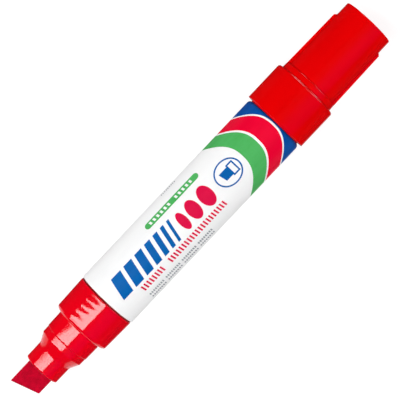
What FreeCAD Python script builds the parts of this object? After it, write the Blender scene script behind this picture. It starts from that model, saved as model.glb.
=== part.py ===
"""A jumbo felt tip marker with a chisel nib, open, its cap posted on the tail.

The marker lies on its side: its axis runs along X, the nib points to -X and the cap's closed end
to +X. +Z is up, and the nib's broad face looks up. The origin is under the middle of the marker's
length, on the surface that it lies on. Every piece is turned about the marker's axis, except for
the felt nib, its slots and the cap's two side ribs. All sizes are in millimetres.
"""

import FreeCAD, Part
import math
import os

# ---- Lengths along the axis, from the nib's point to the cap's closed end ----
NIB_REACH = 10.9  # the nib's point ahead of its holder
SLEEVE_LENGTH = 7.8  # narrow front of the nib holder
FLARE_LENGTH = 3.8
FRONT_STAGE_LENGTH = 3.0  # widest part of the nib holder
REAR_STAGE_LENGTH = 7.6  # the collar's own narrow front
COLLAR_LENGTH = 14.8
GASKET_LENGTH = 0.7
BARREL_LENGTH = 94.25  # to the end of its rolled rear edge
MOUTH_GAP = 0.45  # between the barrel's end and the cap's mouth
CAP_LENGTH = 52.65
SKIRT_LENGTH = 17.35  # wide mouth end of the cap
BASE_LENGTH = 2.65  # short step between the cap's skirt and its core
RIB_LENGTH = 26.6

# ---- Outside radii ----
SKIRT_R = 14.05  # the widest radius, on which the marker lies
BARREL_R = 13.0
COLLAR_FRONT_R = 12.4
COLLAR_REAR_R = 12.8
REAR_STAGE_FRONT_R = 9.9
REAR_STAGE_REAR_R = 10.05
FRONT_STAGE_R = 9.75
SLEEVE_FRONT_R = 7.63
SLEEVE_REAR_R = 7.68
BASE_R = 12.45
CORE_START_R = 11.15
CORE_END_R = 10.98
RIB_START_R = 12.3
RIB_END_R = 11.93

# ---- Felt nib ----
NIB_WIDTH = 11.6
NIB_THICKNESS = 7.4
NIB_SLANT = 3.8  # how far the short corner stands behind the point
NIB_LENGTH = 41.5
NIB_EDGE = 0.35
NIB_TAIL_TAPER = 1.6

# ---- Walls, bores and fits ----
BARREL_WALL = 0.6
SHOULDER_R = 1.5  # outer radius of the barrel's rolled rear edge
SPIGOT_CLEARANCE = 0.05
SKIRT_BORE_R = 12.9
SKIRT_DEPTH = 16.05
CORE_BORE_START_R = 10.2
CORE_BORE_END_R = 10.05
CAP_END_WALL = 1.6
COLLAR_BORE_R = 11.5
COLLAR_FRONT_WALL = 2.25
COLLAR_SPIGOT_LENGTH = 7.75
HOLDER_SPIGOT_R = 8.25
HOLDER_SPIGOT_LENGTH = 10.25
GASKET_NECK_R = 11.95
GASKET_R = 12.5
NIB_CLEARANCE = 0.05
WADDING_CLEARANCE = 0.3
WRAP_R = 11.4
WRAP_THICKNESS = 0.25
RESERVOIR_LENGTH = 97.8
RESERVOIR_SLOT_DEPTH = 6.0

# ---- Tail plug ----
POST_R = 12.05
POST_LENGTH = 16.2
POST_BEAD_R = 12.8
POST_WALL = 1.8
PLUG_BORE_R = 9.7
PLUG_TUBE_R = 11.2
PLUG_TUBE_LENGTH = 8.5  # reach into the barrel
PLUG_SNAP_R = 11.75

# ---- Cap ribs and liner ----
RIB_THICKNESS = 2.4
RIB_END_ROUND = 0.6
LINER_R = 9.98
LINER_BORE_R = 7.95
LINER_LIP_R = 7.75
LINER_LIP_LENGTH = 1.6
LINER_LENGTH = 20.55
LINER_END_WALL = 1.3

# ---- Stations along X, worked out from the lengths ----
LENGTH = (
    NIB_REACH + SLEEVE_LENGTH + FLARE_LENGTH + FRONT_STAGE_LENGTH + REAR_STAGE_LENGTH
    + COLLAR_LENGTH + GASKET_LENGTH + BARREL_LENGTH + MOUTH_GAP + CAP_LENGTH
)
NIB_POINT_X = -LENGTH / 2
SLEEVE_X = NIB_POINT_X + NIB_REACH
FLARE_X = SLEEVE_X + SLEEVE_LENGTH
FRONT_STAGE_X = FLARE_X + FLARE_LENGTH
REAR_STAGE_X = FRONT_STAGE_X + FRONT_STAGE_LENGTH
COLLAR_X = REAR_STAGE_X + REAR_STAGE_LENGTH
GASKET_X = COLLAR_X + COLLAR_LENGTH
BARREL_X = GASKET_X + GASKET_LENGTH
BARREL_END_X = BARREL_X + BARREL_LENGTH
CAP_X = BARREL_END_X + MOUTH_GAP
BASE_X = CAP_X + SKIRT_LENGTH
CORE_X = BASE_X + BASE_LENGTH
CAP_END_X = CAP_X + CAP_LENGTH
CORE_BORE_X = CAP_X + SKIRT_DEPTH
COLLAR_BORE_X = COLLAR_X + COLLAR_FRONT_WALL
RESERVOIR_X = COLLAR_BORE_X + 1.0

AXIS = FreeCAD.Vector(0, 0, SKIRT_R)
ALONG_X = FreeCAD.Vector(1, 0, 0)
UP = FreeCAD.Vector(0, 0, 1)


def profile_wire(corners):
    """A closed wire above the axis. Each corner is (x, radius) or (x, radius, rounding)."""
    points = [FreeCAD.Vector(c[0], 0, SKIRT_R + c[1]) for c in corners]
    roundings = [c[2] if len(c) > 2 else 0 for c in corners]
    starts, ends, arcs = [], [], []
    for i, corner in enumerate(points):
        back = (points[i - 1] - corner).normalize()
        ahead = (points[(i + 1) % len(points)] - corner).normalize()
        rounding = roundings[i]
        if not rounding:
            starts.append(corner)
            ends.append(corner)
            arcs.append(None)
            continue
        half = back.getAngle(ahead) / 2
        reach = rounding / math.tan(half)
        inward = (back + ahead).normalize()
        middle = corner + inward * (rounding / math.sin(half) - rounding)
        starts.append(corner + back * reach)
        ends.append(corner + ahead * reach)
        arcs.append(middle)
    edges = []
    for i, middle in enumerate(arcs):
        if middle is not None:
            edges.append(Part.Arc(starts[i], middle, ends[i]).toShape())
        following = starts[(i + 1) % len(starts)]
        if ends[i].distanceToPoint(following) > 1e-6:
            edges.append(Part.LineSegment(ends[i], following).toShape())
    return Part.Wire(edges)


def turned(corners):
    """The profile turned once round the marker's axis."""
    return Part.Face(profile_wire(corners)).revolve(AXIS, ALONG_X, 360)


def bar(x_start, x_end, width, thickness):
    """A flat bar centred on the marker's axis."""
    corner = AXIS + FreeCAD.Vector(x_start, -width / 2, -thickness / 2)
    return Part.makeBox(x_end - x_start, width, thickness, corner)


def felt_nib():
    """Pressed felt bar: slanted writing end, lightly broken edges, and a tail wedge for the wadding."""
    half = NIB_WIDTH / 2
    tail_x = NIB_POINT_X + NIB_LENGTH
    outline = [
        FreeCAD.Vector(NIB_POINT_X, half, 0),
        FreeCAD.Vector(NIB_POINT_X + NIB_SLANT, -half, 0),
        FreeCAD.Vector(tail_x, -half, 0),
        FreeCAD.Vector(tail_x, half, 0),
    ]
    base = Part.Face(Part.makePolygon(outline + outline[:1]))
    base.translate(AXIS - UP * (NIB_THICKNESS / 2))
    nib = base.extrude(UP * NIB_THICKNESS)
    tail_edges = [
        e for e in nib.Edges
        if abs(e.CenterOfMass.x - tail_x) < 1e-3 and abs(e.Length - NIB_WIDTH) < 1e-3
    ]
    nib = nib.makeChamfer(NIB_TAIL_TAPER, tail_edges)
    long_edges = [
        e for e in nib.Edges
        if e.Length > NIB_LENGTH / 2
    ]
    return nib.makeFillet(NIB_EDGE, long_edges)


def nib_holder():
    """Front insert: a narrow sleeve round the nib, a flare, a wide stage and a spigot."""
    spigot_end = REAR_STAGE_X + HOLDER_SPIGOT_LENGTH
    body = turned([
        (SLEEVE_X, 0),
        (SLEEVE_X, SLEEVE_FRONT_R, 0.5),
        (FLARE_X, SLEEVE_REAR_R, 3.0),
        (FRONT_STAGE_X, FRONT_STAGE_R, 0.6),
        (REAR_STAGE_X, FRONT_STAGE_R, 0.15),
        (REAR_STAGE_X, HOLDER_SPIGOT_R),
        (spigot_end, HOLDER_SPIGOT_R, 0.4),
        (spigot_end, 0),
    ])
    slot = bar(
        SLEEVE_X - 1, spigot_end + 1,
        NIB_WIDTH + 2 * NIB_CLEARANCE, NIB_THICKNESS + 2 * NIB_CLEARANCE,
    )
    return body.cut(slot)


def front_collar():
    """Collar that closes the barrel: a narrow stage, a wide ring for the cap, and a spigot."""
    holder_bore = HOLDER_SPIGOT_R + SPIGOT_CLEARANCE
    spigot_r = BARREL_R - BARREL_WALL - SPIGOT_CLEARANCE
    spigot_end = BARREL_X + COLLAR_SPIGOT_LENGTH
    return turned([
        (REAR_STAGE_X, holder_bore),
        (REAR_STAGE_X, REAR_STAGE_FRONT_R, 0.2),
        (COLLAR_X, REAR_STAGE_REAR_R, 0.3),
        (COLLAR_X, COLLAR_FRONT_R, 1.3),
        (GASKET_X, COLLAR_REAR_R, 0.35),
        (GASKET_X, GASKET_NECK_R),
        (BARREL_X, GASKET_NECK_R),
        (BARREL_X, spigot_r),
        (spigot_end, spigot_r, 0.4),
        (spigot_end, COLLAR_BORE_R),
        (COLLAR_BORE_X, COLLAR_BORE_R, 0.6),
        (COLLAR_BORE_X, holder_bore),
    ])


def collar_gasket():
    """Soft ring squeezed between the collar's rear face and the barrel's front edge."""
    gap = SPIGOT_CLEARANCE
    return turned([
        (GASKET_X + gap, GASKET_NECK_R + gap),
        (GASKET_X + gap, GASKET_R, 0.2),
        (BARREL_X - gap, GASKET_R, 0.2),
        (BARREL_X - gap, GASKET_NECK_R + gap),
    ])


def barrel_tube():
    """Thin aluminium tube with its rear edge rolled inwards over a wide hole."""
    inner_r = BARREL_R - BARREL_WALL
    lip_r = BARREL_R - SHOULDER_R
    return turned([
        (BARREL_X, inner_r),
        (BARREL_X, BARREL_R, 0.2),
        (BARREL_END_X, BARREL_R, SHOULDER_R - 0.01),
        (BARREL_END_X, lip_r),
        (BARREL_END_X - BARREL_WALL, lip_r),
        (BARREL_END_X - BARREL_WALL, inner_r, SHOULDER_R - BARREL_WALL - 0.01),
    ])


def tail_plug():
    """Hollow end plug: a snap ring inside the barrel's lip, and a post that holds the cap."""
    post_end = BARREL_END_X + POST_LENGTH
    lip_x = BARREL_END_X - BARREL_WALL
    neck_r = BARREL_R - SHOULDER_R - SPIGOT_CLEARANCE
    tube_x = BARREL_END_X - PLUG_TUBE_LENGTH
    return turned([
        (tube_x, PLUG_BORE_R),
        (tube_x, PLUG_TUBE_R, 0.3),
        (lip_x - 2.6, PLUG_TUBE_R),
        (lip_x - 0.9, PLUG_SNAP_R, 0.3),
        (lip_x - 0.1, PLUG_SNAP_R, 0.15),
        (lip_x - 0.1, neck_r),
        (BARREL_END_X, neck_r),
        (BARREL_END_X, POST_R),
        (post_end - 5.4, POST_R, 0.8),
        (post_end - 4.0, POST_BEAD_R, 0.8),
        (post_end - 2.8, POST_BEAD_R, 0.8),
        (post_end, POST_R - 0.9, 0.8),
        (post_end, 0),
        (post_end - POST_WALL, 0),
        (post_end - POST_WALL, PLUG_BORE_R, 1.5),
    ])


def ink_reservoir():
    """Fibre wadding that holds the ink, with a pocket at its front for the nib's tail."""
    radius = WRAP_R - WRAP_THICKNESS - SPIGOT_CLEARANCE
    body = turned([
        (RESERVOIR_X, 0),
        (RESERVOIR_X, radius, 0.5),
        (RESERVOIR_X + RESERVOIR_LENGTH, radius, 0.5),
        (RESERVOIR_X + RESERVOIR_LENGTH, 0),
    ])
    pocket = bar(
        RESERVOIR_X - 1, RESERVOIR_X + RESERVOIR_SLOT_DEPTH,
        NIB_WIDTH + 2 * WADDING_CLEARANCE, NIB_THICKNESS + 2 * WADDING_CLEARANCE,
    )
    return body.cut(pocket)


def reservoir_wrap():
    """Plastic film tube round the wadding, open at both ends."""
    inner_r = WRAP_R - WRAP_THICKNESS
    return turned([
        (RESERVOIR_X, inner_r),
        (RESERVOIR_X, WRAP_R),
        (RESERVOIR_X + RESERVOIR_LENGTH, WRAP_R),
        (RESERVOIR_X + RESERVOIR_LENGTH, inner_r),
    ])


def side_rib(side):
    """One long fin on the cap's core, on the +Y side for 1 and on the -Y side for -1."""
    root_r = (CORE_BORE_START_R + CORE_START_R) / 2
    end_x = CORE_X + RIB_LENGTH
    outline = [
        FreeCAD.Vector(CORE_X - 1, side * root_r, 0),
        FreeCAD.Vector(CORE_X - 1, side * RIB_START_R, 0),
        FreeCAD.Vector(end_x, side * RIB_END_R, 0),
        FreeCAD.Vector(end_x, side * root_r, 0),
    ]
    face = Part.Face(Part.makePolygon(outline + outline[:1]))
    face.translate(AXIS - UP * (RIB_THICKNESS / 2))
    rib = face.extrude(UP * RIB_THICKNESS)
    end_edges = [
        e for e in rib.Edges
        if abs(e.CenterOfMass.x - end_x) < 1e-3
        and abs(abs(e.CenterOfMass.y) - RIB_END_R) < 1e-3
    ]
    return rib.makeFillet(RIB_END_ROUND, end_edges)


def cap_shell():
    """The cap: a wide skirt, a short base step, a slim closed core and two side ribs."""
    shell = turned([
        (CAP_X, SKIRT_BORE_R, 0.3),
        (CAP_X, SKIRT_R, 0.12),
        (BASE_X, SKIRT_R, 1.0),
        (BASE_X, BASE_R, 0.25),
        (CORE_X, BASE_R - 0.12, 0.3),
        (CORE_X, CORE_START_R, 0.25),
        (CAP_END_X, CORE_END_R, 0.35),
        (CAP_END_X, 0),
        (CAP_END_X - CAP_END_WALL, 0),
        (CAP_END_X - CAP_END_WALL, CORE_BORE_END_R, 0.6),
        (CORE_BORE_X, CORE_BORE_START_R, 0.3),
        (CORE_BORE_X, SKIRT_BORE_R, 0.4),
    ])
    for side in (1, -1):
        shell = shell.fuse(side_rib(side))
    return shell.removeSplitter()


def cap_liner():
    """Seal cup deep in the cap, whose lip closes on the nib holder's sleeve when capped."""
    end_x = CAP_END_X - CAP_END_WALL - 0.15
    mouth_x = end_x - LINER_LENGTH
    return turned([
        (mouth_x, LINER_LIP_R, 0.3),
        (mouth_x, LINER_R, 0.5),
        (end_x, LINER_R, 0.8),
        (end_x, 0),
        (end_x - LINER_END_WALL, 0),
        (end_x - LINER_END_WALL, LINER_BORE_R, 0.8),
        (mouth_x + LINER_LIP_LENGTH + 0.6, LINER_BORE_R),
        (mouth_x + LINER_LIP_LENGTH, LINER_LIP_R),
    ])


def main():
    """Builds every sub-part and writes one STEP file for each."""
    os.makedirs("parts", exist_ok=True)
    makers = (
        felt_nib, nib_holder, front_collar, collar_gasket, barrel_tube,
        tail_plug, ink_reservoir, reservoir_wrap, cap_shell, cap_liner,
    )
    for maker in makers:
        shape = maker()
        if not shape.isValid() or len(shape.Solids) != 1:
            raise ValueError(f"{maker.__name__} isn't one valid solid")
        box = shape.BoundBox
        print(
            f"{maker.__name__:15s} {shape.Volume:9.1f} mm3"
            f"  x {box.XMin:7.2f} {box.XMax:7.2f}  z {box.ZMin:6.2f} {box.ZMax:6.2f}"
        )
        shape.exportStep(f"parts/{maker.__name__}.step")


main()
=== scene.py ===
import math

import bmesh
import bpy
from mathutils import Matrix, Vector, noise


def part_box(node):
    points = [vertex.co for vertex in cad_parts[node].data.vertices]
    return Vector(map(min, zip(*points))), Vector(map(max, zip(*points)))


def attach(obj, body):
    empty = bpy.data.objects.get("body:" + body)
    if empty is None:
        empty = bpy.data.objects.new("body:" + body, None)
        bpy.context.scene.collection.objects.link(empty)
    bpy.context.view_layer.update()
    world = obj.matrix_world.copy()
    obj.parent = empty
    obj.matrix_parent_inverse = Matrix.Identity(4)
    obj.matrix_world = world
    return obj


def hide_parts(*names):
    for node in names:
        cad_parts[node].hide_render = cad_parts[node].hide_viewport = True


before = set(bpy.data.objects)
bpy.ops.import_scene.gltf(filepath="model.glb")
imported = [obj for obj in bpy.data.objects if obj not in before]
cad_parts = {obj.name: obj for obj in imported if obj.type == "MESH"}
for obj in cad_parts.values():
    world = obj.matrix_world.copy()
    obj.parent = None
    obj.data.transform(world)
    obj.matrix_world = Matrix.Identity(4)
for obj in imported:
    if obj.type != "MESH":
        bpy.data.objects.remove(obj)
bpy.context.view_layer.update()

# ---------------------------------------------------------------- sizes, in metres
MM = 0.001


def ends(node):
    """Where a CAD node starts and ends along X."""
    low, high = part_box(node)
    return low.x, high.x


BARREL_LOW, BARREL_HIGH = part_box("barrel_tube")
AXIS_Z = (BARREL_LOW.z + BARREL_HIGH.z) / 2
BARREL_R = (BARREL_HIGH.z - BARREL_LOW.z) / 2
BARREL_X, BARREL_END_X = ends("barrel_tube")
BARREL_WALL = 0.6 * MM
SHOULDER_R = 1.49 * MM
SHOULDER_X = BARREL_END_X - SHOULDER_R
SKIN_END = SHOULDER_X + SHOULDER_R * math.pi / 2  # the skin's length, measured along it

NIB_POINT_X, NIB_TAIL_X = ends("felt_nib")
NIB_HALF_WIDTH = 5.8 * MM
NIB_HALF_THICKNESS = 3.7 * MM
NIB_SLANT = 3.8 * MM
NIB_EDGE = 0.3 * MM
NIB_TAPER = 1.6 * MM
NIB_CLEARANCE = 0.05 * MM
SLOT_LEAD_IN = 0.12 * MM
SLOT_LEAD_IN_GROWTH = 0.1 * MM

SLEEVE_X, HOLDER_END_X = ends("nib_holder")
FLARE_X = SLEEVE_X + 7.8 * MM
FRONT_STAGE_X = FLARE_X + 3.8 * MM
STAGE_SEAM_X, COLLAR_END_X = ends("front_collar")
COLLAR_X = STAGE_SEAM_X + 7.6 * MM
COLLAR_REAR_X = COLLAR_X + 14.8 * MM
COLLAR_WALL = 2.25 * MM
SLEEVE_MOUTH_R = 7.05 * MM
SLEEVE_R = 7.63 * MM
FLARE_START_R = 7.68 * MM
FLARE_END_R = 9.685 * MM
FRONT_STAGE_R = 9.75 * MM
HOLDER_TAIL_R = 8.25 * MM
HOLDER_TAIL_END_R = 7.6 * MM
HOLDER_SEAT_R = 8.3 * MM
REAR_STAGE_START_R = 9.9 * MM
REAR_STAGE_END_R = 10.05 * MM
COLLAR_FRONT_R = 12.4 * MM
COLLAR_R = 12.8 * MM
SEAL_SEAT_R = 11.95 * MM
SPIGOT_R = 12.35 * MM
SPIGOT_BORE_R = 11.5 * MM
SEAL_BORE_R = 12.0 * MM
SEAL_R = 12.5 * MM

CAP_X, CAP_END_X = ends("cap_shell")
SKIRT_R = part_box("cap_shell")[1].z - AXIS_Z
BASE_X = CAP_X + 17.35 * MM
CORE_X = BASE_X + 2.65 * MM
CORE_BORE_X = CAP_X + 16.05 * MM
CAP_FLOOR_X = CAP_END_X - 1.6 * MM
BASE_R = 12.45 * MM
BASE_END_R = BASE_R - 0.12 * MM
CORE_START_R = 11.15 * MM
CORE_AT_RIB_END_R = 11.05 * MM
CORE_PAST_RIB_R = 11.02 * MM
CORE_END_R = 10.98 * MM
SKIRT_BORE_R = 12.9 * MM
CORE_BORE_START_R = 10.2 * MM
CORE_BORE_END_R = 10.05 * MM
RIB_START_R = 12.3 * MM
RIB_END_R = 11.93 * MM
RIB_END_X = CORE_X + 26.6 * MM
RIB_END_ROUND = 0.8 * MM
BEFORE_CORE = 0.5 * MM  # how far the ribs reach into the base step
RIB_HALF_ANGLE = math.radians(5.9)

COLUMNS = 256
FINE_COLUMNS = 320
SHARP_ANGLE = math.radians(38)
TINY = 1e-7  # smaller than any real size here


# ---------------------------------------------------------------- mesh helpers
def rounded(corners, closed, steps=6):
    """Points along an outline of (x, radius) or (x, radius, rounding) corners."""
    points = []
    for i, corner in enumerate(corners):
        here = Vector(corner[:2])
        rounding = corner[2] if len(corner) > 2 else 0.0
        if not rounding:
            points.append(here)
            continue
        back = (Vector(corners[i - 1][:2]) - here).normalized()
        ahead = (Vector(corners[(i + 1) % len(corners)][:2]) - here).normalized()
        half = back.angle(ahead) / 2
        centre = here + (back + ahead).normalized() * (rounding / math.sin(half))
        start = here + back * (rounding / math.tan(half)) - centre
        end = here + ahead * (rounding / math.tan(half)) - centre
        sweep = start.angle_signed(end)
        for k in range(steps + 1):
            turn = -sweep * k / steps
            cos_turn, sin_turn = math.cos(turn), math.sin(turn)
            points.append(centre + Vector((
                start.x * cos_turn - start.y * sin_turn,
                start.x * sin_turn + start.y * cos_turn,
            )))
    return supported(points, closed)


def supported(points, closed, near=0.25 * MM, longest=3.0 * MM):
    """The same outline with extra points near its corners and along its long runs."""
    out = []
    last = len(points) if closed else len(points) - 1
    for i in range(last):
        a, b = points[i], points[(i + 1) % len(points)]
        out.append(a)
        length = (b - a).length
        if length < 4 * near:
            continue
        along = (b - a) / length
        inner = length - 2 * near
        count = max(1, math.ceil(inner / longest))
        out += [a + along * (near + inner * k / count) for k in range(count + 1)]
    if not closed:
        out.append(points[-1])
    return out


def even_angles(count=COLUMNS):
    """Angles round the marker's axis, from straight up and turning towards +Y."""
    return [2 * math.pi * k / count for k in range(count)]


def place(x, radius, angle):
    """The point at an x, a distance from the marker's axis and an angle round it."""
    return Vector((x, radius * math.sin(angle), AXIS_Z + radius * math.cos(angle)))


def plain_ring(x, radius):
    """A ring with the same x and radius at every angle."""
    return lambda angle: (x, radius)


def loft(name, rings, angles, closed, zones=None):
    """A mesh through rings. Each ring is a function from an angle to (x, radius).

    A ring of no radius becomes one vertex. zones gives the material index after each ring.
    """
    bm = bmesh.new()
    rows = []
    for ring in rings:
        spots = [ring(a) for a in angles]
        if max(r for _, r in spots) < TINY:
            rows.append([bm.verts.new(place(spots[0][0], 0, 0))] * len(angles))
        else:
            rows.append([bm.verts.new(place(x, r, a)) for (x, r), a in zip(spots, angles)])
    pairs = list(zip(rows, rows[1:]))
    if closed:
        pairs.append((rows[-1], rows[0]))
    for k, (row, following) in enumerate(pairs):
        for j in range(len(angles)):
            n = (j + 1) % len(angles)
            corners = list(dict.fromkeys((row[j], row[n], following[n], following[j])))
            face = bm.faces.new(corners)
            if zones:
                face.material_index = zones[k]
    return smooth_object(name, bm)


def smooth_object(name, bm):
    """Links a new, smoothly shaded object, with sharp edges where its faces turn enough."""
    bmesh.ops.recalc_face_normals(bm, faces=bm.faces)
    for face in bm.faces:
        face.smooth = True
    mesh = bpy.data.meshes.new(name)
    bm.to_mesh(mesh)
    bm.free()
    mesh.set_sharp_from_angle(angle=SHARP_ANGLE)
    return add_object(name, mesh)


def add_object(name, mesh):
    """Links a new object for the mesh."""
    made = bpy.data.objects.new(name, mesh)
    bpy.context.scene.collection.objects.link(made)
    return made


def lathe(name, corners):
    """A turned piece from a closed outline of corners."""
    rings = [plain_ring(*point) for point in rounded(corners, closed=True)]
    return loft(name, rings, even_angles(), closed=True)


def box_radius(angle, half_width, half_thickness, corner):
    """How far a rounded rectangle's edge is from its centre, at an angle from straight up."""
    across, up = max(TINY, abs(math.sin(angle))), max(TINY, abs(math.cos(angle)))
    reach = min(half_width / across, half_thickness / up)
    cy, cz = half_width - corner, half_thickness - corner
    if reach * across > cy and reach * up > cz:
        middle = across * cy + up * cz
        reach = middle + math.sqrt(max(0.0, middle ** 2 - (cy ** 2 + cz ** 2 - corner ** 2)))
    return reach


def finish_piece(piece, body, slot, materials, *replaced):
    """Gives a piece its materials and its body, and hides the CAD nodes that it stands for. slot is
    not used.
    """
    for material in materials:
        piece.data.materials.append(material)
    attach(piece, body)
    if replaced:
        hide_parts(*replaced)
    return piece


# ---------------------------------------------------------------- node trees and materials
class Graph:
    """A small builder for a node tree."""

    def __init__(self, tree):
        self.tree = tree

    def node(self, kind, **values):
        """A node with some of its properties or inputs set."""
        made = self.tree.nodes.new(kind)
        for key, value in values.items():
            if key in made.inputs:
                made.inputs[key].default_value = value
            else:
                setattr(made, key, value)
        return made

    def link(self, source, target):
        """Joins an output to an input."""
        self.tree.links.new(source, target)

    def maths(self, operation, *values):
        """A maths node on sockets or numbers, or a chain of them for more than two values."""
        if len(values) > 2:
            values = (self.maths(operation, *values[:-1]), values[-1])
        made = self.node("ShaderNodeMath", operation=operation)
        for socket, value in zip(made.inputs, values):
            if isinstance(value, (int, float)):
                socket.default_value = value
            else:
                self.link(value, socket)
        return made.outputs[0]

    def mapped(self, value, start, end, low=0.0, high=1.0):
        """Maps a value from start..end to low..high, and holds it there past both ends."""
        made = self.node("ShaderNodeMapRange")
        made.inputs["From Min"].default_value = start
        made.inputs["From Max"].default_value = end
        made.inputs["To Min"].default_value = low
        made.inputs["To Max"].default_value = high
        self.link(value, made.inputs["Value"])
        return made.outputs["Result"]

    def axes(self, where):
        """The X, Y and Z parts of a vector."""
        split = self.node("ShaderNodeSeparateXYZ")
        self.link(where, split.inputs[0])
        return split.outputs[:]


class Look(Graph):
    """A small builder for one node material, in object coordinates."""

    def __init__(self, name):
        self.material = bpy.data.materials.new(name)
        self.material.use_nodes = True
        super().__init__(self.material.node_tree)
        self.shader = self.tree.nodes["Principled BSDF"]
        self.where = self.node("ShaderNodeTexCoord").outputs["Object"]

    def stretched(self, x, y, z):
        """Object coordinates times a number along each axis, as noise cells in a metre."""
        mapping = self.node("ShaderNodeMapping")
        mapping.inputs["Scale"].default_value = (x, y, z)
        self.link(self.where, mapping.inputs["Vector"])
        return mapping.outputs["Vector"]

    def noise(self, where, scale=1.0, detail=4.0, roughness=0.55):
        """Noise from 0 to 1 at the given coordinates."""
        made = self.node("ShaderNodeTexNoise", Scale=scale, Detail=detail, Roughness=roughness)
        self.link(where, made.inputs["Vector"])
        return made.outputs["Fac"]

    def ramp(self, value, stops):
        """Maps a value to the colours of (position, colour) stops."""
        made = self.node("ShaderNodeValToRGB")
        while len(made.color_ramp.elements) < len(stops):
            made.color_ramp.elements.new(0.5)
        for element, (position, colour) in zip(made.color_ramp.elements, stops):
            element.position = position
            element.color = (*colour, 1.0)
        self.link(value, made.inputs["Fac"])
        return made.outputs["Color"]

    def between(self, value, low, high):
        """Maps a value from 0..1 to low..high."""
        return self.mapped(value, 0.0, 1.0, low, high)

    def blend(self, first, first_share, second, second_share):
        """The sum of two values, each times its share."""
        return self.maths(
            "ADD", self.maths("MULTIPLY", first, first_share),
            self.maths("MULTIPLY", second, second_share),
        )

    def bump(self, height, distance, strength):
        """Feeds a height, in metres when scaled by distance, to the shader's normal."""
        made = self.node("ShaderNodeBump", Distance=distance, Strength=strength)
        self.link(height, made.inputs["Height"])
        self.link(made.outputs["Normal"], self.shader.inputs["Normal"])

    def feed(self, name, value):
        """Sets or links one of the shader's inputs."""
        if isinstance(value, (int, float, tuple)):
            self.shader.inputs[name].default_value = value
        else:
            self.link(value, self.shader.inputs[name])


WAVES_ALONG = 2170.0  # radians of the collar's ripple in a metre along X
WAVES_ACROSS = 300.0  # and in a metre along Y, which slants it
WAVE_DRIFT = 4.0  # radians by which noise shifts it
WAVE_FADE = 1.5 * MM


def ring_waves(look, depth):
    """The height of slanted, drifting rings on the collar, which fade in behind its front edge."""
    x, y, _ = look.axes(look.where)
    drift = look.noise(look.stretched(260, 300, 300), detail=2.0)
    phase = look.maths(
        "ADD", look.blend(x, WAVES_ALONG, y, WAVES_ACROSS), look.maths("MULTIPLY", drift, WAVE_DRIFT),
    )
    fade = look.mapped(x, COLLAR_X, COLLAR_X + WAVE_FADE, 0.0, depth)
    return look.maths("MULTIPLY", look.maths("SINE", phase), fade)


def moulded_plastic(name, colour, shade, gloss, specular=0.33, waves=0.0):
    """Smooth moulded plastic: faint mottling, uneven gloss, and a fine ripple, also in rings."""
    look = Look(name)
    flow = look.noise(look.stretched(70, 160, 160), detail=3.0)
    look.feed("Base Color", look.ramp(flow, [(0.3, shade), (0.62, colour)]))
    grain = look.noise(look.stretched(900, 900, 900), detail=6.0, roughness=0.6)
    look.feed("Roughness", look.between(grain, gloss - 0.03, gloss + 0.03))
    look.feed("Specular IOR Level", specular)
    ripple = look.noise(look.stretched(110, 220, 220), detail=2.0)
    height = look.blend(ripple, 0.2, grain, 0.05)
    if waves:
        height = look.maths("ADD", height, ring_waves(look, waves))
    look.bump(height, 0.06 * MM, 0.5)
    return look.material


def lacquer(name, colour, shade, gloss=0.3):
    """Printed lacquer on drawn aluminium: thin, nearly even, with faint lines along the tube."""
    look = Look(name)
    cloud = look.noise(look.stretched(90, 260, 260), detail=5.0)
    look.feed("Base Color", look.ramp(cloud, [(0.3, shade), (0.6, colour)]))
    drawn = look.noise(look.stretched(60, 2600, 2600), detail=3.0)
    look.feed("Roughness", look.between(drawn, gloss - 0.06, gloss + 0.08))
    look.feed("Specular IOR Level", 0.04)
    peel = look.noise(look.stretched(1300, 1300, 1300), detail=2.0)
    look.bump(look.blend(drawn, 0.5, peel, 0.35), 0.02 * MM, 0.35)
    return look.material


def pressed_felt(name, colour, shade, along=900, across=5200):
    """Dense felt: fibres that run along the piece, matted and blotched with ink."""
    look = Look(name)
    fibres = look.noise(look.stretched(along, across, across), detail=8.0, roughness=0.7)
    blotch = look.noise(look.stretched(420, 420, 420), detail=3.0)
    mixed = look.blend(fibres, 0.6, blotch, 0.4)
    look.feed("Base Color", look.ramp(mixed, [(0.36, shade), (0.6, colour)]))
    look.feed("Roughness", look.between(fibres, 0.78, 0.98))
    look.feed("Specular IOR Level", 0.06)
    look.feed("Sheen Weight", 0.04)
    look.feed("Sheen Roughness", 0.5)
    look.bump(mixed, 0.2 * MM, 0.6)
    return look.material


def soft_rubber(name, colour, shade):
    """Matt moulded rubber with a fine grain."""
    look = Look(name)
    grain = look.noise(look.stretched(2400, 2400, 2400), detail=5.0)
    look.feed("Base Color", look.ramp(grain, [(0.35, shade), (0.65, colour)]))
    look.feed("Roughness", look.between(grain, 0.5, 0.75))
    look.feed("Specular IOR Level", 0.2)
    look.bump(grain, 0.05 * MM, 0.5)
    return look.material


def stained_film(name, colour, stain):
    """Thin plastic film with streaks of ink behind it."""
    look = Look(name)
    streaks = look.noise(look.stretched(45, 300, 300), detail=6.0, roughness=0.65)
    look.feed("Base Color", look.ramp(streaks, [(0.42, colour), (0.6, stain)]))
    look.feed("Roughness", look.between(streaks, 0.12, 0.3))
    look.bump(streaks, 0.08 * MM, 0.4)
    return look.material


def satin_liner(name, colour, shade):
    """Natural, slightly waxy plastic with a tinge of dried ink."""
    look = Look(name)
    haze = look.noise(look.stretched(260, 260, 260), detail=5.0)
    look.feed("Base Color", look.ramp(haze, [(0.35, shade), (0.65, colour)]))
    look.feed("Roughness", look.between(haze, 0.38, 0.55))
    look.bump(haze, 0.05 * MM, 0.4)
    return look.material


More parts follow.
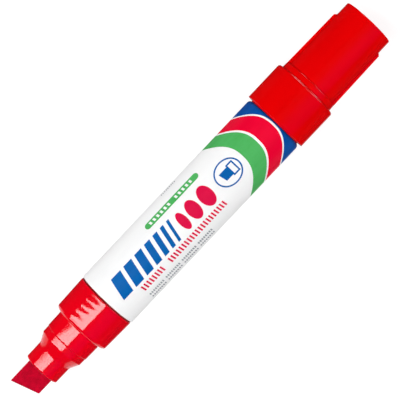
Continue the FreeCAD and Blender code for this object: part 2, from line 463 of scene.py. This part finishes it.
RED_INK = (0.82, 0.0003, 0.009)
RED_SHADE = (0.78, 0.0002, 0.009)
CAP_INK = (0.8, 0.0003, 0.001)
CAP_SHADE = (0.76, 0.0002, 0.001)
RED = moulded_plastic("red_plastic", RED_INK, RED_SHADE, 0.11)
COLLAR_RED = moulded_plastic("collar_red_plastic", RED_INK, RED_SHADE, 0.06, waves=0.2)
CAP_RED = moulded_plastic("cap_red_plastic", CAP_INK, CAP_SHADE, 0.07, specular=0.24)
# The seal's dark red is partly its own colour and partly painted shade of the gap between the collar
# and the barrel.
SEAL_AND_GAP_SHADE = soft_rubber("seal_rubber_and_gap_shade", (0.3, 0.001, 0.003), (0.22, 0.0006, 0.002))
WHITE = lacquer("white_lacquer", (0.95, 0.95, 0.95), (0.925, 0.925, 0.93))
GREEN = lacquer("green_ink", (0.085, 0.47, 0.125), (0.07, 0.43, 0.1))
CRIMSON = lacquer("crimson_ink", (0.87, 0.001, 0.035), (0.82, 0.001, 0.03))
NAVY = lacquer("blue_band_ink", (0.002, 0.08, 0.365), (0.0015, 0.066, 0.32))
BLUE = lacquer("blue_ink", (0.001, 0.12, 0.43), (0.001, 0.105, 0.38))
PRINT_CRIMSON = lacquer("print_crimson_ink", (0.74, 0.004, 0.062), (0.69, 0.003, 0.055))
GREY = lacquer("grey_ink", (0.3, 0.32, 0.35), (0.25, 0.27, 0.3), 0.4)
FELT = pressed_felt("ink_felt", (0.6, 0.001, 0.024), (0.37, 0.0006, 0.014))
WADDING = pressed_felt("ink_wadding", (0.5, 0.004, 0.02), (0.3, 0.001, 0.01), 300, 3800)
FILM = stained_film("reservoir_film", (0.82, 0.76, 0.76), (0.7, 0.12, 0.14))
LINER = satin_liner("liner_plastic", (0.82, 0.8, 0.76), (0.76, 0.72, 0.68))


# ---------------------------------------------------------------- felt nib
def nib_front(y):
    """Where the nib's slanted writing end is at a distance towards +Y."""
    return NIB_POINT_X + NIB_SLANT * (NIB_HALF_WIDTH - y) / (2 * NIB_HALF_WIDTH)


def nib_ring(inset, back, share, straight):
    """A ring of the bar.

    inset is from the bar's sides, back is from its writing end, share is of its full size, and
    straight goes from 0 (as slanted as the writing end) to 1 (square to the axis).
    """

    def spot(angle):
        half_width = (NIB_HALF_WIDTH - inset) * share
        half_thickness = (NIB_HALF_THICKNESS - inset) * share
        corner = max(NIB_EDGE * share - inset / 3, 0.02 * MM)
        radius = box_radius(angle, half_width, half_thickness, corner)
        slanted = nib_front(radius * math.sin(angle)) + back
        return slanted * (1 - straight) + (NIB_POINT_X + back) * straight, radius

    return spot


def nib_rings():
    """The bar's rings: writing end, worn edge, slanted part, straight part and tapered tail."""
    face_steps, edge_steps, slant_steps, shaft_steps = 14, 5, 40, 30
    slant_end = 12 * MM
    length = NIB_TAIL_X - NIB_POINT_X
    rings = [plain_ring(nib_front(0), 0.0)]
    rings += [nib_ring(NIB_EDGE, 0, k / face_steps, 0) for k in range(1, face_steps)]
    for k in range(edge_steps + 1):
        turn = math.pi / 2 * k / edge_steps
        rings.append(
            nib_ring(NIB_EDGE * (1 - math.sin(turn)), NIB_EDGE * (1 - math.cos(turn)), 1, 0)
        )
    for k in range(1, slant_steps):
        share = k / slant_steps
        rings.append(nib_ring(0, NIB_EDGE + (slant_end - NIB_EDGE) * share, 1, share ** 2))
    shaft = length - NIB_TAPER - slant_end
    rings += [nib_ring(0, slant_end + shaft * k / shaft_steps, 1, 1) for k in range(shaft_steps + 1)]
    return rings + [nib_ring(NIB_TAPER, length, 1, 1), plain_ring(NIB_TAIL_X, 0.0)]


def roughen(mesh):
    """Moves a felt surface inwards by small, uneven depths, stretched along X."""
    depth, wave_depth, fuzz_depth = 0.02 * MM, 0.018 * MM, 0.02 * MM
    wave_cells, fuzz_cells = Vector((500, 1500, 1500)), Vector((1800, 5200, 5200))
    fuzz_offset = Vector((7, 3, 1))
    outward = [v.normal.copy() for v in mesh.vertices]
    for vertex, normal in zip(mesh.vertices, outward):
        wave = noise.noise(vertex.co * wave_cells)
        fuzz = noise.noise(vertex.co * fuzz_cells + fuzz_offset)
        vertex.co -= normal * (depth + wave_depth * wave + fuzz_depth * fuzz)


def make_nib():
    """Felt bar: slanted end with worn edges, and a surface that is slightly uneven."""
    piece = loft("chisel_nib", nib_rings(), even_angles(FINE_COLUMNS), closed=False)
    roughen(piece.data)
    return finish_piece(piece, "nib", "felt", [FELT], "felt_nib")


# ---------------------------------------------------------------- front: holder, collar, seal
def slot_ring(x, grow=0.0):
    """A ring of the slot that the nib sits in."""
    half_width = NIB_HALF_WIDTH + NIB_CLEARANCE + grow
    half_thickness = NIB_HALF_THICKNESS + NIB_CLEARANCE + grow
    return lambda angle: (x, box_radius(angle, half_width, half_thickness, NIB_EDGE))


def make_holder():
    """Sleeve, flare and front stage, with the slot that the nib sits in."""
    outline = rounded([
        (SLEEVE_X, SLEEVE_MOUTH_R),
        (SLEEVE_X, SLEEVE_R, 0.5 * MM),
        (FLARE_X, FLARE_START_R, 3.0 * MM),
        (FRONT_STAGE_X, FLARE_END_R, 0.6 * MM),
        (STAGE_SEAM_X, FRONT_STAGE_R, 0.18 * MM),
        (STAGE_SEAM_X, HOLDER_TAIL_R),
        (HOLDER_END_X, HOLDER_TAIL_R, 0.4 * MM),
        (HOLDER_END_X, HOLDER_TAIL_END_R),
    ], closed=False)
    rings = [plain_ring(*point) for point in outline]
    steps = 8
    run = HOLDER_END_X - SLEEVE_X
    rings += [slot_ring(HOLDER_END_X - run * k / steps) for k in range(steps)]
    rings += [slot_ring(SLEEVE_X + SLOT_LEAD_IN), slot_ring(SLEEVE_X, SLOT_LEAD_IN_GROWTH)]
    piece = loft("nib_sleeve", rings, even_angles(FINE_COLUMNS), closed=True)
    return finish_piece(piece, "barrel", "red_plastic", [RED], "nib_holder")


def make_collar():
    """Rear stage and the wide collar that the cap fits over, with the spigot in the barrel."""
    piece = lathe("collar_ring", [
        (STAGE_SEAM_X, HOLDER_SEAT_R),
        (STAGE_SEAM_X, REAR_STAGE_START_R, 0.2 * MM),
        (COLLAR_X, REAR_STAGE_END_R, 0.35 * MM),
        (COLLAR_X, COLLAR_FRONT_R, 1.3 * MM),
        (COLLAR_REAR_X, COLLAR_R, 0.35 * MM),
        (COLLAR_REAR_X, SEAL_SEAT_R),
        (BARREL_X, SEAL_SEAT_R),
        (BARREL_X, SPIGOT_R),
        (COLLAR_END_X, SPIGOT_R, 0.4 * MM),
        (COLLAR_END_X, SPIGOT_BORE_R),
        (COLLAR_X + COLLAR_WALL, SPIGOT_BORE_R, 0.6 * MM),
        (COLLAR_X + COLLAR_WALL, HOLDER_SEAT_R),
    ])
    return finish_piece(piece, "barrel", "red_plastic", [COLLAR_RED], "front_collar")


def make_gasket():
    """Seal ring between the collar and the barrel, dark red so that it also paints the shade of the
    gap there.
    """
    low, high = ends("collar_gasket")
    piece = lathe("seal_ring", [
        (low, SEAL_BORE_R),
        (low, SEAL_R, 0.2 * MM),
        (high, SEAL_R, 0.2 * MM),
        (high, SEAL_BORE_R),
    ])
    return finish_piece(piece, "barrel", "dark_red_seal", [SEAL_AND_GAP_SHADE], "collar_gasket")


# ---------------------------------------------------------------- barrel and its printed bands
BAND_DROP = 9.5 * MM  # how far each band's edge falls back from its crown to the marker's sides
BAND_SHARPNESS = 2.55
# Where the crowns of the bands' edges are along X: green, crimson, and blue to the barrel's end
GREEN_BAND = (BARREL_X + 76.4 * MM, BARREL_X + 84.05 * MM)
CRIMSON_BAND = (BARREL_X + 85.05 * MM, BARREL_X + 92.75 * MM)
BLUE_START = BARREL_X + 93.55 * MM


def band_edge(crown):
    """A bell-shaped edge round the barrel, the same on its front and its back."""
    return lambda angle: crown - BAND_DROP * abs(math.sin(angle)) ** BAND_SHARPNESS


def on_barrel(run):
    """(x, radius) at a distance along the barrel's skin, which rolls inwards at its rear."""
    if run <= SHOULDER_X:
        return run, BARREL_R
    turn = min((run - SHOULDER_X) / SHOULDER_R, math.pi / 2)
    return (
        SHOULDER_X + SHOULDER_R * math.sin(turn),
        BARREL_R - SHOULDER_R * (1 - math.cos(turn)),
    )


def skin_rings(start, end, steps):
    """Rings on the barrel's skin from start up to end. Both are functions from an angle."""

    def ring(share):
        return lambda angle: on_barrel(start(angle) + (end(angle) - start(angle)) * share)

    return [ring(k / steps) for k in range(steps)]


def make_barrel():
    """Aluminium tube whose mesh follows the printed bands, so that their edges are crisp."""
    white, green, crimson, navy = range(4)
    inner_r = BARREL_R - BARREL_WALL
    lip_r = BARREL_R - SHOULDER_R
    front_x = BARREL_X + 1 * MM
    front = rounded([
        (front_x, inner_r),
        (BARREL_X, inner_r),
        (BARREL_X, BARREL_R, 0.2 * MM),
        (front_x, BARREL_R),
    ], closed=False)
    rings = [plain_ring(*point) for point in front[:-1]]
    zones = [white] * len(rings)
    crowns = (*GREEN_BAND, *CRIMSON_BAND, BLUE_START)
    edges = [lambda angle: front_x, *map(band_edge, crowns), lambda angle: SKIN_END]
    inks = (white, green, white, crimson, white, navy)
    ring_counts = (24, 4, 4, 4, 4, 14)
    for start, end, steps, ink in zip(edges, edges[1:], ring_counts, inks):
        rings += skin_rings(start, end, steps)
        zones += [ink] * steps
    rings += [
        plain_ring(BARREL_END_X, lip_r),
        plain_ring(BARREL_END_X - BARREL_WALL, lip_r),
        plain_ring(SHOULDER_X, inner_r),
    ]
    zones += [navy, white, white]
    piece = loft("printed_barrel", rings, even_angles(), closed=True, zones=zones)
    return finish_piece(
        piece, "barrel", "printed_aluminium", [WHITE, GREEN, CRIMSON, NAVY], "barrel_tube",
    )


# ---------------------------------------------------------------- printed marks on the barrel
INK_LIFT = 0.012 * MM
INK_THICKNESS = 0.012 * MM
INK_FACET = 0.7 * MM  # how far round the barrel one flat strip of a patch reaches
OVAL_POINTS = 72
LABEL_X = BARREL_X + 49.75 * MM  # the printed marks are placed from here


def flat_patches(outlines):
    """Flat faces from outlines, cut into strips that are narrow enough to bend."""
    bm = bmesh.new()
    for outline in outlines:
        bm.faces.new([bm.verts.new((x, around, 0)) for x, around in outline])
    low = min(v.co.y for v in bm.verts)
    high = max(v.co.y for v in bm.verts)
    for k in range(math.floor(low / INK_FACET) + 1, math.ceil(high / INK_FACET)):
        bmesh.ops.bisect_plane(
            bm, geom=bm.verts[:] + bm.edges[:] + bm.faces[:],
            plane_co=(0, k * INK_FACET, 0), plane_no=(0, 1, 0), dist=1e-8,
        )
    bmesh.ops.recalc_face_normals(bm, faces=bm.faces)
    for face in bm.faces:
        if face.normal.z < 0:
            face.normal_flip()
    return bm


def print_marks(name, outlines, material, slot, lift=INK_LIFT):
    """Closed patches of ink wrapped on the barrel.

    Outlines are (x, around) points: x is from LABEL_X, and around is the distance round the
    barrel from its top line, towards +Y.
    """
    bm = flat_patches(outlines)
    made = bmesh.ops.extrude_face_region(bm, geom=bm.faces[:])
    for vertex in made["geom"]:
        if isinstance(vertex, bmesh.types.BMVert):
            vertex.co.z = INK_THICKNESS
    for vertex in bm.verts:
        x, around, height = vertex.co
        vertex.co = place(LABEL_X + x, BARREL_R + lift + height, around / BARREL_R)
    finish_piece(smooth_object(name, bm), "barrel", slot, [material])


def leaning_bar(x, width, low, high, lean):
    """A bar between two distances round the barrel, whose sides lean along X."""
    return [(x, low), (x + width, low), (x + width + lean, high), (x + lean, high)]


def bar_row(count, x, pitch, width, low, high, lean, skipped=()):
    """A row of leaning bars at one pitch, without the skipped ones."""
    return [
        leaning_bar(x + pitch * k, width, low, high, lean)
        for k in range(count) if k not in skipped
    ]


def oval(centre, half_length, half_height):
    """Points of an ellipse."""
    turns = [2 * math.pi * k / OVAL_POINTS for k in range(OVAL_POINTS)]
    return [
        (centre[0] + half_length * math.cos(turn), centre[1] + half_height * math.sin(turn))
        for turn in turns
    ]


def pill(low_x, high_x, low, high):
    """Points of a bar with round ends."""
    radius, middle = (high - low) / 2, (high + low) / 2
    steps = 12
    points = []
    for centre, turn in ((high_x - radius, -90), (low_x + radius, 90)):
        for k in range(steps + 1):
            angle = math.radians(turn + 180 * k / steps)
            points.append((centre + radius * math.cos(angle), middle + radius * math.sin(angle)))
    return points


def oval_line(centre, half_length, half_height, width):
    """An oval outline as a loop of quads."""
    outer = oval(centre, half_length, half_height)
    inner = oval(centre, half_length - width, half_height - width)
    return [[outer[k - 1], outer[k], inner[k], inner[k - 1]] for k in range(OVAL_POINTS)]


def print_strokes():
    """Seven leaning strokes, from broad to fine, as such a marker can draw them."""
    widths = (5.2 * MM, 4.4 * MM, 3.7 * MM, 3.0 * MM, 2.4 * MM, 1.8 * MM, 1.3 * MM)
    low, high, lean, gap = -4.95 * MM, 4.25 * MM, 2.2 * MM, 1.7 * MM
    strokes, x = [], -44.6 * MM
    for width in widths:
        strokes.append(leaning_bar(x, width, low, high, lean))
        x += width + gap
    print_marks("print_blue_swatches", strokes, BLUE, "print_blue")


def print_dots():
    """Three dots that grow towards the cap."""
    dots = [
        oval((-6.9 * MM, -0.6 * MM), 1.9 * MM, 4.1 * MM),
        oval((-1.0 * MM, -0.4 * MM), 2.75 * MM, 4.4 * MM),
        oval((6.1 * MM, -0.3 * MM), 3.1 * MM, 4.65 * MM),
    ]
    print_marks("print_crimson_dots", dots, PRINT_CRIMSON, "print_crimson")


def print_pill():
    """A green pill with white ticks printed over it."""
    low, high, margin = 7.1 * MM, 10.0 * MM, 0.75 * MM
    shape = pill(-19.1 * MM, 9.9 * MM, low, high)
    print_marks("print_green_pill", [shape], GREEN, "print_green")
    ticks = bar_row(
        12, x=-16.6 * MM, pitch=2.0 * MM, width=1.0 * MM,
        low=low + margin, high=high - margin, lean=-0.3 * MM, skipped=(6,),
    )
    over_pill = INK_LIFT + 1.5 * INK_THICKNESS
    print_marks("print_pill_ticks", ticks, WHITE, "printed_aluminium", over_pill)


def print_dashes():
    """Dashes in place of small print: one crimson row, then two grey rows and a short one."""
    row_x = -36.4 * MM
    broad = bar_row(
        31, x=row_x, pitch=1.5 * MM, width=0.75 * MM,
        low=-9.1 * MM, high=-6.3 * MM, lean=-0.4 * MM, skipped=(8, 9),
    )
    print_marks("print_crimson_dashes", broad, PRINT_CRIMSON, "print_crimson")
    fine = []
    for low in (-13.1 * MM, -15.7 * MM):
        fine += bar_row(
            36, x=row_x, pitch=1.0 * MM, width=0.6 * MM,
            low=low, high=low + 1.3 * MM, lean=-0.15 * MM, skipped=range(8, 36, 9),
        )
    fine += bar_row(
        9, x=-6.0 * MM, pitch=0.9 * MM, width=0.5 * MM,
        low=16.1 * MM, high=17.1 * MM, lean=-0.1 * MM,
    )
    print_marks("print_grey_dashes", fine, GREY, "print_grey")


def print_sign():
    """A thin oval with a solid nib shape and an outlined holder in it."""
    x, y = 18.3 * MM, -0.3 * MM
    line, nib_half, holder_half = 0.62 * MM, 1.9 * MM, 2.6 * MM
    left, right = x + 0.9 * MM, x + 4.2 * MM
    low, high = y - holder_half, y + holder_half
    shapes = oval_line((x, y), 6.15 * MM, 5.35 * MM, line)
    shapes.append([
        (x - 3.4 * MM, y + nib_half),
        (x - 2.6 * MM, y - nib_half),
        (left, y - nib_half),
        (left, y + nib_half),
    ])
    shapes += [
        leaning_bar(left, line, low, high, 0),
        leaning_bar(right - line, line, low, high, 0),
        leaning_bar(left + line, right - left - 2 * line, low, low + line, 0),
        leaning_bar(left + line, right - left - 2 * line, high - line, high, 0),
    ]
    print_marks("print_nib_sign", shapes, BLUE, "print_blue")


# ---------------------------------------------------------------- cap
def cap_angles():
    """Angles round the cap, close together where its two ribs rise."""
    offsets = [0.9 * k for k in range(5)]  # degrees from a rib's middle: its crest, then its side
    offsets += [4.1, 4.5, 4.85, 5.15, 5.4, 5.6, 5.8, 6.05, 6.35, 6.75, 7.3, 8.2]
    plain_start, plain_steps = 9.5, 90
    plain_span = 180 - 2 * plain_start
    angles = []
    for rib in (90, 270):
        angles += [rib - offset for offset in offsets[:0:-1]]
        angles += [rib + offset for offset in offsets]
        angles += [rib + plain_start + plain_span * k / plain_steps for k in range(plain_steps + 1)]
    return [math.radians(angle) for angle in angles]


def rib_share(angle):
    """1 on a rib's crest and 0 on the plain core, with rounded edges and roots."""
    steepness = 22
    offset = abs(abs(math.remainder(angle, 2 * math.pi)) - math.pi / 2)
    return 1 / (1 + (offset / RIB_HALF_ANGLE) ** steepness)


def crest_radius(x, core):
    """The ribs' radius at x, which rounds down to the core at their end."""
    if not CORE_X - BEFORE_CORE <= x <= RIB_END_X:
        return core
    share = (x - CORE_X) / (RIB_END_X - CORE_X)
    radius = RIB_START_R + (RIB_END_R - RIB_START_R) * share
    over = max(0.0, (x - (RIB_END_X - RIB_END_ROUND)) / RIB_END_ROUND)
    return max(core, core + (radius - core) * math.sqrt(max(0.0, 1 - over ** 2)))


def ribbed_ring(x, radius):
    """A ring of the cap's outside, which stands out at the two ribs."""
    rise = crest_radius(x, radius) - radius
    return lambda angle: (x, radius + rise * rib_share(angle))


def make_cap():
    """Skirt, base step and slim core with two side ribs, hollow and open at its mouth."""
    outline = rounded([
        (CAP_END_X, 0.0),
        (CAP_END_X, CORE_END_R, 0.35 * MM),
        (RIB_END_X + 0.05 * MM, CORE_PAST_RIB_R),
        (RIB_END_X - RIB_END_ROUND, CORE_AT_RIB_END_R),
        (CORE_X, CORE_START_R, 0.25 * MM),
        (CORE_X, BASE_END_R, 0.1 * MM),
        (BASE_X, BASE_R, 0.25 * MM),
        (BASE_X, SKIRT_R, 1.0 * MM),
        (CAP_X, SKIRT_R, 0.12 * MM),
        (CAP_X, SKIRT_BORE_R, 0.3 * MM),
        (CORE_BORE_X, SKIRT_BORE_R, 0.4 * MM),
        (CORE_BORE_X, CORE_BORE_START_R, 0.3 * MM),
        (CAP_FLOOR_X, CORE_BORE_END_R, 0.6 * MM),
        (CAP_FLOOR_X, 0.0),
    ], closed=False)
    mouth = max(i for i, point in enumerate(outline) if point.x < CAP_X + TINY)
    rings = [ribbed_ring(*point) for point in outline[:mouth]]
    rings += [plain_ring(*point) for point in outline[mouth:]]
    piece = loft("posted_cap", rings, cap_angles(), closed=False)
    return finish_piece(piece, "cap", "red_plastic", [CAP_RED], "cap_shell")


# ---------------------------------------------------------------- CAD nodes that stay
def dress(node, material):
    """Gives a CAD node a material in place of its plain one."""
    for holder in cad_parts[node].material_slots:
        holder.material = material


make_nib()
make_holder()
make_collar()
make_gasket()
make_barrel()
print_strokes()
print_dots()
print_pill()
print_dashes()
print_sign()
make_cap()
dress("tail_plug", RED)
dress("ink_reservoir", WADDING)
dress("reservoir_wrap", FILM)
dress("cap_liner", LINER)


# ---------------------------------------------------------------- floor, lights and camera
FLOOR_HALF = 6.0
FLOOR_SHADE = (0.24, 0.24, 0.24)
FLOOR_COLOUR = (0.26, 0.26, 0.26)
PAINTED_SHADOW_GLOW = 0.85  # how strongly the floor glows under the marker, dimmed there to paint a faint shadow, and away from it
GLOW_BESIDE = 1.2
GLOW_START = 16 * MM  # how far beside the marker's axis, or past its ends, the glow starts to rise
GLOW_END = 60 * MM
WALL_RADIUS = 5.8
WALL_HEIGHT = 4.0
WALL_FACES = 96
WALL_SHADE = (0.5, 0.5, 0.5)
WALL_COLOUR = (0.52, 0.52, 0.52)
PURE_WHITE = (1.0, 1.0, 1.0, 1.0)


def make_floor():
    """A pale, glowing table top: it glows more to the marker's sides than under it, so real shadows
    hardly show, and its dimmer glow under the marker paints a faint shadow.
    """
    mesh = bpy.data.meshes.new("floor")
    corners = [(FLOOR_HALF * x, FLOOR_HALF * y, 0) for x, y in ((-1, -1), (1, -1), (1, 1), (-1, 1))]
    mesh.from_pydata(corners, [], [(0, 1, 2, 3)])
    floor = add_object("floor", mesh)
    look = Look("glowing_floor_painted_shadow")
    grain = look.noise(look.stretched(40, 40, 40), detail=3.0)
    look.feed("Base Color", look.ramp(grain, [(0.3, FLOOR_SHADE), (0.7, FLOOR_COLOUR)]))
    look.feed("Roughness", 0.9)
    look.feed("Specular IOR Level", 0.1)
    look.feed("Emission Color", PURE_WHITE)
    # Painted shadow: the glow is dimmer under and along the marker, and rises beside it.
    x, y, _ = look.axes(look.where)
    past_end = look.maths("SUBTRACT", look.maths("ABSOLUTE", x), CAP_END_X)
    away = look.maths("MAXIMUM", look.maths("ABSOLUTE", y), past_end)
    look.feed("Emission Strength", look.mapped(away, GLOW_START, GLOW_END, PAINTED_SHADOW_GLOW, GLOW_BESIDE))
    floor.data.materials.append(look.material)
    floor.visible_glossy = False


def make_backdrop():
    """A round white wall near the floor's edge, which only the camera sees."""
    corners = []
    for angle in even_angles(WALL_FACES):
        x, y = WALL_RADIUS * math.cos(angle), WALL_RADIUS * math.sin(angle)
        corners += [(x, y, 0.0), (x, y, WALL_HEIGHT)]
    count = len(corners)
    faces = [(k, k + 1, (k + 3) % count, (k + 2) % count) for k in range(0, count, 2)]
    mesh = bpy.data.meshes.new("backdrop")
    mesh.from_pydata(corners, [], faces)
    backdrop = add_object("backdrop", mesh)
    look = Look("white_backdrop")
    cloud = look.noise(look.where, 2.0)
    look.feed("Base Color", look.ramp(cloud, [(0.3, WALL_SHADE), (0.7, WALL_COLOUR)]))
    look.feed("Emission Color", PURE_WHITE)
    look.feed("Emission Strength", 1.0)
    backdrop.data.materials.append(look.material)
    backdrop.visible_glossy = False
    backdrop.visible_diffuse = False
    backdrop.visible_shadow = False


def soft_light(name, at, size_x, size_y, radiance, turn=0.0, mirrored=True):
    """A rectangular soft light that faces down. One that is not mirrored gives no highlight."""
    data = bpy.data.lights.new(name, "AREA")
    data.shape = "RECTANGLE"
    data.size, data.size_y = size_x, size_y
    data.energy = radiance * math.pi * size_x * size_y
    light = bpy.data.objects.new(name, data)
    light.location = at
    light.rotation_euler = (0, 0, turn)
    light.visible_glossy = mirrored
    bpy.context.scene.collection.objects.link(light)


# How bright the studio's cards and its dark rest are, as the marker's gloss mirrors them
FRONT_CARD = 4.5
REAR_CARD = 1.3
LOW_CARD = 1.3
CARD_BELOW = 1.0
REAR_RING = 6.0
COOL_CARD = 0.4
DARK = 0.02


def make_world():
    """Studio in the marker's gloss: dark, with bright cards past its ends, low down and below.

    along, across and up are the parts of a mirrored direction, each from -1 to 1.
    """
    world = bpy.data.worlds.new("studio")
    bpy.context.scene.world = world
    world.use_nodes = True
    world.cycles_visibility.diffuse = False
    graph = Graph(world.node_tree)
    maths, step = graph.maths, graph.mapped
    along, across, up = graph.axes(graph.node("ShaderNodeTexCoord").outputs["Generated"])
    front_card = maths("MULTIPLY", step(along, -0.92, -0.95), FRONT_CARD)
    rear_card = maths("MULTIPLY", step(along, 0.92, 0.95), REAR_CARD)
    low_ends = maths("MULTIPLY", maths("MAXIMUM", front_card, rear_card), step(up, 0.03, -0.03))
    low_front = maths("MULTIPLY", step(along, -0.2, -0.28), step(up, -0.1, -0.2), LOW_CARD)
    below = maths("MULTIPLY", step(up, -0.9, -0.95), step(across, -0.02, -0.1), CARD_BELOW)
    rear_ring = maths(
        "MULTIPLY", step(along, 0.78, 0.83), step(along, 0.97, 0.95),
        step(up, -0.34, -0.28), step(up, 0.6, 0.5), REAR_RING,
    )
    neutral = maths("ADD", maths("MAXIMUM", low_ends, low_front, below, rear_ring), DARK)
    cool_side = maths("MULTIPLY", step(across, -0.15, -0.6), step(up, 0.15, 0.45), COOL_CARD)
    colour = graph.node("ShaderNodeCombineColor")
    graph.link(neutral, colour.inputs["Red"])
    graph.link(neutral, colour.inputs["Green"])
    graph.link(maths("MAXIMUM", neutral, cool_side), colour.inputs["Blue"])
    background = graph.tree.nodes["Background"]
    graph.link(colour.outputs["Color"], background.inputs["Color"])
    background.inputs["Strength"].default_value = 1.0


# The camera looks down on the marker, a little from the cap's side of its middle
CAMERA_TARGET = Vector((3.275 * MM, 0.33 * MM, AXIS_Z))
CAMERA_DISTANCE = 0.75
CAMERA_LEAN = math.radians(1.6)
AXIS_SLOPE = math.radians(46.7)  # the marker's slope in the picture
PICTURE_WIDTH = 0.1552  # at the target
SENSOR_WIDTH = 36.0  # in millimetres, as the camera's settings are


def make_camera():
    """The camera that takes the photo's view."""
    data = bpy.data.cameras.new("camera")
    data.sensor_width = SENSOR_WIDTH
    data.lens = SENSOR_WIDTH * CAMERA_DISTANCE / PICTURE_WIDTH
    camera = bpy.data.objects.new("camera", data)
    backwards = Vector((math.sin(CAMERA_LEAN), 0.0, math.cos(CAMERA_LEAN)))
    picture_up = Vector((math.sin(AXIS_SLOPE), math.cos(AXIS_SLOPE), 0.0))
    sideways = picture_up.cross(backwards).normalized()
    upwards = backwards.cross(sideways)
    camera.location = CAMERA_TARGET + CAMERA_DISTANCE * backwards
    camera.rotation_euler = Matrix((sideways, upwards, backwards)).transposed().to_euler()
    bpy.context.scene.collection.objects.link(camera)
    bpy.context.scene.camera = camera


make_floor()
make_backdrop()
make_world()
soft_light(
    "front_strip", at=(-0.3315, 0.62, 1.0), size_x=0.16, size_y=1.66, radiance=15.0,
    turn=math.radians(7.7),
)
soft_light(
    "overhead_fill", at=(0.5, -1.0, 1.8), size_x=2.4, size_y=2.4, radiance=1.6, mirrored=False,
)
make_camera()
bpy.context.scene.view_settings.view_transform = "Standard"
